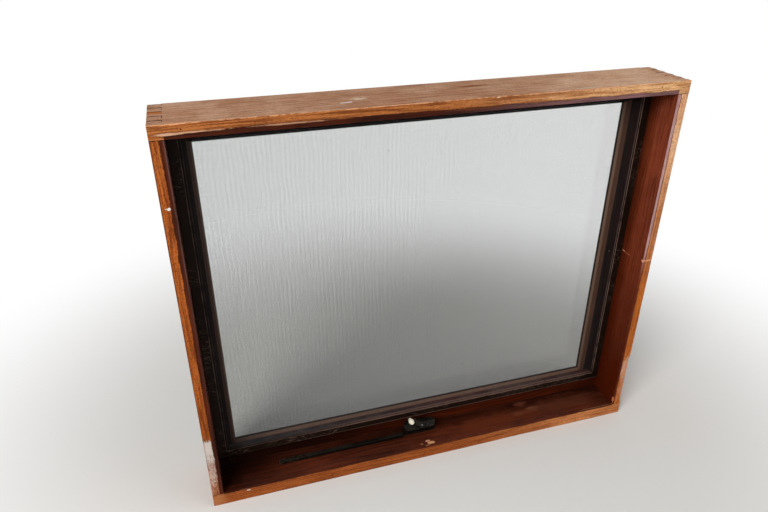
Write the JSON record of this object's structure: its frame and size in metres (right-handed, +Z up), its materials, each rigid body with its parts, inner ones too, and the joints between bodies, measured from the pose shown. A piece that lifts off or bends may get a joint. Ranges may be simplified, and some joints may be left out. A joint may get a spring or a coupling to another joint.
{
  "type": "timber awning window with insect screen and chain winder",
  "caption": "Closed timber awning window in a deep box frame, with an insect screen inside and a chain winder with a crank on its sill.",
  "frame": {"origin": "middle of the sill's underside, at half the frame's depth", "axes": "+X along the width, to the right seen from the room; +Y through the wall to the weather side; +Z up"},
  "size_m": [1.2, 0.154, 1],
  "materials": {
    "frame_timber": "stained and lacquered softwood, bare at its front arris",
    "sash_timber": "stained and lacquered softwood",
    "glass": "clear float",
    "screen_frame": "dark bronze powder coat, semi gloss",
    "screen_mesh": "woven grey mesh",
    "spline": "matt black cord",
    "winder_metal": "dark grey bronze enamel, worn",
    "steel": "dulled plating",
    "knob": "moulded ivory plastic"
  },
  "bodies": {
    "window": {"head": "frame_timber", "sill": "frame_timber", "left_jamb": "frame_timber", "right_jamb": "frame_timber", "head_stop": "frame_timber", "left_stop": "frame_timber", "right_stop": "frame_timber", "winder_rail": "frame_timber", "sash_top": "sash_timber", "sash_bottom": "sash_timber", "sash_left": "sash_timber", "sash_right": "sash_timber", "glazing_bead_top": "sash_timber", "glazing_bead_bottom": "sash_timber", "glazing_bead_left": "sash_timber", "glazing_bead_right": "sash_timber", "glass_pane": "glass", "screen_top": "screen_frame", "screen_bottom": "screen_frame", "screen_left": "screen_frame", "screen_right": "screen_frame", "screen_mesh": "screen_mesh", "screen_spline_top": "spline", "screen_spline_bottom": "spline", "screen_spline_left": "spline", "screen_spline_right": "spline", "winder_base": "winder_metal", "winder_housing": "winder_metal", "chain_tube": "winder_metal", "chain_tube_cap": "winder_metal", "left_hinge_frame_leaf": "steel", "left_hinge_sash_leaf": "steel", "left_hinge_pin": "steel", "right_hinge_frame_leaf": "steel", "right_hinge_sash_leaf": "steel", "right_hinge_pin": "steel", "winder_chain": "steel", "sash_bracket": "steel"},
    "crank": {"crank_arm": "winder_metal", "crank_spindle": "steel", "crank_screw": "steel", "knob_pin": "steel"},
    "knob": {"crank_knob": "knob"}
  },
  "joints": [
    {"name": "crank_turn", "type": "hinge", "parent": "window", "child": "crank", "pos_m": [-0.0205, -0.0185, 0.0635], "axis": [0, -0.7071, 0.7071], "continuous": true},
    {"name": "knob_spin", "type": "hinge", "parent": "crank", "child": "knob", "pos_m": [-0.05064, -0.01616, 0.09271], "axis": [0, -0.9744, 0.225], "continuous": true}
  ]
}
